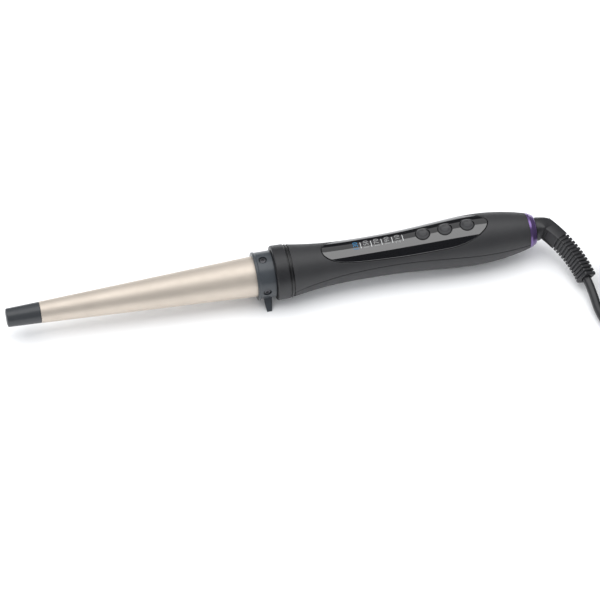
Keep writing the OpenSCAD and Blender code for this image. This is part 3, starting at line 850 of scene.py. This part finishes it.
# ---- swivel end ----
def make_tail_ring():
    x0 = tail_x + 0.05
    outline = rounded([
        (x0, 5.4), (x0, tail_r - 0.1, 0.25), (tail_x + 1.5, tail_r - 0.35, 0.5), (tail_x + 4.2, 9.3, 0.4),
        (wand_len, 8.7, 0.2), (wand_len, 5.4)], 5)
    add_piece("tail_ring", lathe(outline, 128), "handle", "ring_purple", "end_ring")


ARM_LEN = 43
ARM_DROOP = 12.5
ARM_HEADING = 49.5
ARM_TURN = 31.5
ARM_TWIST_START = -7
ARM_TWIST = -21
ARM_BACK = 1
ARM_HALF_H = 5.15
ARM_HALF_W = 4.75
ARM_CORNER = 0.8
ELBOW_END = 2.5
ELBOW_HALF_H = 5.12
ELBOW_HALF_W = 4.7
POCKET_START = ELBOW_END + 1.2
POCKET_END = 11.6
POCKET_RIM = 0.7
ARM_SMOOTH = 13.7
ARM_RIBS = 11
RIB_PITCH = 2.5
NECK_R = 7.3
ELBOW_X = tail_x + 11.4
ARM_BEND_R = ARM_LEN / radians(ARM_TURN)


def arm_heading(s):
    return ARM_HEADING + ARM_TURN * s / ARM_LEN


def arm_frame(s):
    """Centre of the strain relief's arm at s from the elbow, and its directions along, down and across."""
    h = radians(arm_heading(s))
    droop = radians(ARM_DROOP)
    start = radians(ARM_HEADING)
    centre = Vector((ELBOW_X + cos(droop) * ARM_BEND_R * (sin(h) - sin(start)),
                     -cos(droop) * ARM_BEND_R * (cos(start) - cos(h)), -sin(droop) * s))
    ahead = Vector((cos(h) * cos(droop), -sin(h) * cos(droop), -sin(droop)))
    down = Vector((-cos(h) * sin(droop), sin(h) * sin(droop), -cos(droop)))
    across = Vector((sin(h), cos(h), 0))
    twist = radians(ARM_TWIST_START + ARM_TWIST * max(0, s / ARM_LEN))
    return centre, ahead, down * cos(twist) + across * sin(twist), across * cos(twist) - down * sin(twist)


def arm_half_w(s):
    return ARM_HALF_W - 0.5 * s / ARM_LEN


def arm_section(s, core=0.0):
    """A rounded rectangle across the arm; core is how far it is drawn in."""
    half_h = ARM_HALF_H + 0.05 * s / ARM_LEN - core
    half_w = arm_half_w(s) - core
    centre, _, down, across = arm_frame(s)
    outline = rounded([(half_h, -half_w, ARM_CORNER), (half_h, half_w, ARM_CORNER),
                       (-half_h, half_w, ARM_CORNER), (-half_h, -half_w, ARM_CORNER)], 3)
    return [centre + down * a + across * b for a, b in outline]


def neck():
    """The round neck behind the tail ring and the elbow where it turns into the boxy arm: the smallest
    convex solid around their sections."""
    end_centre, _, end_down, end_across = arm_frame(ELBOW_END)
    start, corner = Vector((ELBOW_X - 4.5, 0, 0)), Vector((ELBOW_X, 0, 0))
    turns = steps(0, 2 * pi, 72)[:-1]
    points = [Vector((wand_len + 0.3 + away, (NECK_R - depth) * sin(a), (NECK_R - depth) * cos(a)))
              for away, depth in edge_rows(0.35) for a in turns]
    for t in steps(0, 1, 10):
        centre = start.lerp(corner, t).lerp(corner.lerp(end_centre, t), t)
        down = Vector((0, 0, -1)).lerp(end_down, t).normalized()
        across = Vector((0, 1, 0)).lerp(end_across, t).normalized()
        half_h, half_w = NECK_R + (ELBOW_HALF_H - NECK_R) * t, NECK_R + (ELBOW_HALF_W - NECK_R) * t
        squareness = 1 / (1 + 4 * t * t)
        for a in turns:
            c, d = cos(a), sin(a)
            points.append(centre + down * half_h * abs(c) ** squareness * (1 if c > 0 else -1)
                          + across * half_w * abs(d) ** squareness * (1 if d > 0 else -1))
    bm = bmesh.new()
    for p in points:
        bm.verts.new(p)
    bmesh.ops.remove_doubles(bm, verts=bm.verts, dist=0.01)
    bmesh.ops.convex_hull(bm, input=bm.verts)
    bmesh.ops.delete(bm, geom=[v for v in bm.verts if not v.link_faces], context="VERTS")
    return bm


def pocket():
    """A shallow recess in the arm's near side, deepest at the elbow."""
    sections = []
    half_h = ARM_HALF_H - POCKET_RIM
    for s in steps(POCKET_START, POCKET_END, 8):
        centre, _, down, across = arm_frame(s)
        side = arm_half_w(s)
        low, high = side - 0.9 + 0.04 * s, side + 2
        sections.append([centre + down * a - across * b for a, b in
                         ((-half_h, low), (half_h, low), (half_h, high), (-half_h, high))])
    return swept(sections)


def make_relief():
    ribs = []
    for i in range(ARM_RIBS):
        s = ARM_SMOOTH + i * RIB_PITCH
        ribs += [(s, 0.9), (s, 0.12), (s + 0.2, 0), (s + 1.3, 0), (s + 1.5, 0.12), (s + 1.5, 0.9)]
    end = ARM_SMOOTH + ARM_RIBS * RIB_PITCH
    stations = [(s, 0) for s in steps(-ARM_BACK, ARM_SMOOTH - 1.0, 8)] + [(ARM_SMOOTH - 1.0, 0.9)] + ribs
    stations += [(end, 0.9), (end, 0), (ARM_LEN - 0.4, 0), (ARM_LEN, 0.4)]
    relief = add_piece("cord_relief", swept([arm_section(s, core) for s, core in stations]), "cord_side",
                       "cord_rubber", "strain_relief")
    cut(relief, pocket())
    cut(relief, neck(), join=True)
    centre, ahead, down, across = arm_frame(ARM_LEN)

    def on_arm(h, r, a):
        return centre + ahead * h + down * (r * cos(a)) + across * (r * sin(a))

    cut(relief, lathe([(-2.2, 0), (-2.2, 3.1), (1, 3.3), (1, 0)], 40, on_arm))
    return relief


# ---- cord ----
CORD_D = 5.5
LEAD_ROUTE = [
    (186.3, -38.3, 8), (187.1, -45, 6.6), (187.5, -52, 5.4), (187.8, -60, 4.3), (189.9, -70, 3.4),
    (195.1, -78.4, 2.85), (202.8, -84.8, 2.75), (212.2, -88, 2.75), (222, -88.5, 2.75),
    (231, -88.5, 2.75), (240, -88.5, 2.75)]
TAIL_ROUTE = [
    (259.3, -83.3, 19.25), (266.3, -79.6, 19.1), (273.6, -76.3, 18), (281.1, -73.6, 15.4),
    (288.8, -71.6, 12), (296.6, -70.5, 8.9), (303, -70.1, 7.3), (309.9, -70, 6.9)]
coil_low, coil_high = span("cord_coil")
COIL_CENTRE = (coil_low + coil_high) / 2
COIL_COLUMNS = 3
COIL_LAYERS = 4
COIL_OUT_R = (coil_high.x - coil_low.x - CORD_D) / 2
SWITCH_START = 350
SWITCH_STEP = 8
SWITCH_WIDTH = 84


def catmull(route, n=6):
    """A smooth curve through a route's points."""
    points = [Vector(p) for p in route]
    out = []
    for i in range(len(points) - 1):
        a, b, c, d = points[max(i - 1, 0)], points[i], points[i + 1], points[min(i + 2, len(points) - 1)]
        for k in range(n):
            t = k / n
            out.append(0.5 * (2 * b + (c - a) * t + (2 * a - 5 * b + 4 * c - d) * t * t
                              + (3 * b - a - 3 * c + d) * t ** 3))
    return out + [points[-1]]


def eased(t):
    """From 0 to 1 along two parabolas, which bends the cord least."""
    t = min(max(t, 0), 1)
    return 2 * t * t if t < 0.5 else 1 - 2 * (1 - t) ** 2


def coil_points():
    """The wound turns, from the outer bottom one: each layer is wound the other way across than the one
    under it. Between two turns the cord moves over, or up at the end of a layer, and the higher layers
    do so first, which keeps the turns clear of each other."""
    places = []
    for layer in range(COIL_LAYERS):
        columns = list(range(COIL_COLUMNS))
        if layer % 2:
            columns.reverse()
        places += [(column, layer) for column in columns]
    starts = []
    for i, (here, there) in enumerate(zip(places, places[1:])):
        rank = 2 * (COIL_LAYERS - 1 - here[1]) - (1 if there[1] > here[1] else 0)
        starts.append(360 * i + SWITCH_START + SWITCH_STEP * rank)
    out = []
    first_angle, last_angle = 270, 360 * len(places) - 60
    for angle in range(first_angle, last_angle + 1, 10):
        column, layer = places[0]
        for start, here, there in zip(starts, places, places[1:]):
            share = eased((angle - start) / SWITCH_WIDTH)
            column += (there[0] - here[0]) * share
            layer += (there[1] - here[1]) * share
        r = COIL_OUT_R - column * CORD_D
        out.append(Vector((COIL_CENTRE.x + r * cos(radians(angle)), COIL_CENTRE.y + r * sin(radians(angle)),
                           CORD_D * (0.5 + layer))))
    return out


def tube(path, radius, sides=14):
    """Round sections along a path, carried along it without twisting."""
    sections = []
    across = None
    for i, p in enumerate(path):
        ahead = (path[min(i + 1, len(path) - 1)] - path[max(i - 1, 0)]).normalized()
        across = (across or ahead.cross(Vector((0, 0, 1))))
        across = (across - ahead * across.dot(ahead)).normalized()
        up = across.cross(ahead)
        sections.append([p + (across * cos(2 * pi * k / sides) + up * sin(2 * pi * k / sides)) * radius
                         for k in range(sides)])
    return swept(sections)


def make_cord():
    centre, ahead, _, _ = arm_frame(ARM_LEN)
    exit_point = place(centre)
    start = exit_point / MM - ahead * 2
    path = catmull([tuple(start)] + LEAD_ROUTE)[:-1] + coil_points() + catmull(TAIL_ROUTE)[1:]
    path.append(path[-1] + Vector((5, 0, 0)))
    cord = add_piece("mains_cord", tube(path, CORD_D / 2 - 0.02), "cord_side", "cord_rubber",
                     "cord_lead", "cord_coil", "cord_tail", local=False)
    return cord, [p * MM for p in path], exit_point


def make_tie():
    """A hook-and-loop strap once round the bundle, drawn as one closed band."""
    low, high = span("cord_tie")
    half_w = (high.x - low.x) / 2
    mid_x = (low.x + high.x) / 2
    strap_t = 1.15
    y0, y1, z1 = low.y + 0.02, high.y - 0.02, high.z - 0.02

    def loop(inset, floor):
        corner = 3.2 - inset
        return rounded([(y0 + inset, floor, corner), (y1 - inset, floor, corner),
                        (y1 - inset, z1 - inset, corner), (y0 + inset, z1 - inset, corner)], 8)

    outer, inner = loop(0, 0.02), loop(strap_t, 0.6)
    soft = 0.3
    sections = []
    for y_z_out, y_z_in in zip(outer, inner):
        out, into = Vector((0, *y_z_out)), Vector((0, *y_z_in))
        step = (into - out) * 0.25
        side = Vector((half_w, 0, 0))
        soft_side = Vector((half_w - soft, 0, 0))
        ring = [out - soft_side, out + soft_side, out + step + side, into - step + side,
                into + soft_side, into - soft_side, into - step - side, out + step - side]
        sections.append([Vector((mid_x, 0, 0)) + p for p in ring])
    bm = bmesh.new()
    grid(bm, sections + sections[:1], closed=True)
    return add_piece("cord_strap", bm, "cord_side", "tie_fabric", "cord_tie", local=False)


# ---- plug ----
def make_plug():
    """A flat two-pin plug: each part is drawn with y from the cord to the pins, which runs along +X."""
    boot_low = span("plug_relief")[0].x
    low, high = span("plug_body")
    tip = span("plug_pins")[1].x
    mid = (low + high) / 2
    half, thick, depth = (high.y - low.y) / 2, high.z - low.z, high.x - low.x

    def lying(x, y, z):
        return Vector((y, mid.y - x, z))

    def outline(inset):
        side = [bez((9 - inset, 0.6), (half - 2 - inset, 6), (half - inset, 10), (half - inset, 18), t)
                for t in steps(0, 1, 10)]
        side = [(7 - inset, inset)] + side + arc((half - 4, depth - 4), 4 - inset, 0, 90, 6)
        return side + [(-x, y) for x, y in reversed(side)]

    rounding = 2.4
    levels = [(rounding * (1 - sin(t)), rounding * (1 - cos(t))) for t in steps(0, pi / 2, 5)]
    rows = [(inset, z) for inset, z in levels] + [(inset, thick - z) for inset, z in reversed(levels)]
    sections = [[lying(x, low.x + y, low.z + z) for x, y in outline(inset)] for inset, z in rows]
    body = add_piece("plug_shell", swept(sections), "cord_side", "component_black", "plug_body", local=False)
    shade(body, radians(50))

    def turned(x):
        return lambda y, r, a: lying(x + r * cos(a), y, mid.z + r * sin(a))

    boot = [(boot_low, 2.8), (boot_low, 3.9, 0.5)]
    for i in range(6):
        y = boot_low + 4 + i * 3.6
        r = 4 + 2.2 * (y - boot_low) / (low.x - boot_low)
        core = 3.6 + i * 0.25
        boot += [(y, r, 0.2), (y, core, 0.15), (y + 1.2, core, 0.15), (y + 1.2, r + 0.1, 0.2)]
    boot += [(low.x + 0.5, 6.2), (low.x + 0.5, 2.8)]
    pieces = [body, add_piece("plug_boot", lathe(rounded(boot, 2), 48, turned(0)), "cord_side", "cord_rubber",
                              "plug_relief", local=False)]
    sleeve_end = high.x + 10
    sleeve = rounded([(high.x - 1, 0), (high.x - 1, 1.9), (sleeve_end, 1.9, 0.1), (sleeve_end, 0)])
    metal = rounded([(high.x + 8, 0), (high.x + 8, 1.7), (sleeve_end, 1.7), (sleeve_end, 2, 0.1),
                     (tip - 1.2, 2, 0.6), (tip, 0.9, 0.4), (tip, 0)])
    for name, x in (("left", -9.3), ("right", 9.3)):
        pieces.append(add_piece(f"pin_sleeve_{name}", lathe(sleeve, 40, turned(x)), "cord_side",
                                "component_black", "plug_pins", local=False))
        pieces.append(add_piece(f"pin_{name}", lathe(metal, 40, turned(x)), "cord_side", "pin_chrome",
                                "plug_pins", local=False))
    return pieces


# ---- studio ----
def make_floor():
    bm = bmesh.new()
    bmesh.ops.create_grid(bm, x_segments=1, y_segments=1, size=6)
    mesh = bpy.data.meshes.new("floor")
    bm.to_mesh(mesh)
    bm.free()
    floor = bpy.data.objects.new("floor", mesh)
    scene.collection.objects.link(floor)
    material, tree, bsdf = new_material("floor")
    shade_mix = mixed(tree, ranged(tree, noise(tree, 400, 2), 0, 1), (0.84, 0.84, 0.84), (0.86, 0.86, 0.86))
    tree.links.new(shade_mix, bsdf.inputs["Base Color"])
    bsdf.inputs["Roughness"].default_value = 0.9
    bsdf.inputs["Specular IOR Level"].default_value = 0.1
    mesh.materials.append(material)


def softbox(name, location, size, radiance, aim):
    """A rectangular light with an even glow of the given radiance."""
    data = bpy.data.lights.new(name, "AREA")
    data.shape = "RECTANGLE"
    data.size, data.size_y = size
    data.energy = radiance * pi * size[0] * size[1]
    lamp = bpy.data.objects.new(name, data)
    lamp.location = location
    lamp.rotation_euler = (Vector(aim) - Vector(location)).to_track_quat("-Z", "Y").to_euler()
    lamp.visible_camera = False
    scene.collection.objects.link(lamp)


def make_studio():
    make_floor()
    height = 1.2
    near, far, outer = height * tan(radians(19)), height * tan(radians(27)), height * tan(radians(61))
    softbox("key", (0, (far - near) / 2, height), (2.6, near + far), 1.9, aim=(0, (far - near) / 2, 0))
    softbox("back_fill", (0, (far + outer) / 2, height), (2.6, outer - far), 0.5,
            aim=(0, (far + outer) / 2, 0))
    world = bpy.data.worlds.new("studio")
    world.use_nodes = True
    nodes, links = world.node_tree.nodes, world.node_tree.links
    background = nodes["Background"]
    rays = nodes.new("ShaderNodeLightPath")
    ambient, reflected, backdrop = (0.98, 1.0, 1.03), (0.05, 0.052, 0.055), (0.96, 0.96, 0.97)
    inner = mixed(world.node_tree, rays.outputs["Is Glossy Ray"], ambient, reflected)
    outer_mix = mixed(world.node_tree, rays.outputs["Is Camera Ray"], ambient, backdrop)
    links.new(inner, outer_mix.node.inputs[6])
    links.new(outer_mix, background.inputs["Color"])
    scene.world = world
    scene.view_settings.view_transform = "Standard"


# ---- everything ----
make_camera()
materials = make_materials()
relief = make_relief()
cord, cord_path, cord_exit = make_cord()
strap = make_tie()
plug_pieces = make_plug()
make_cap()
make_barrel()
make_collar()
make_collar_screws()
make_nose()
make_lower_shell()
make_upper_shell()
make_panel()
make_scale()
make_button(button_us[0], "power", "power_button")
make_button(button_us[1], "minus", "minus_button")
make_button(button_us[2], "plus", "plus_button")
make_tail_ring()

node_slots = {part["node"]: part["material_slot"] for part in frame["record"]["subparts"]}
for node, cad_object in frame["nodes"].items():
    for slot in cad_object.material_slots:
        slot.material = materials[node_slots[node]]

make_studio()
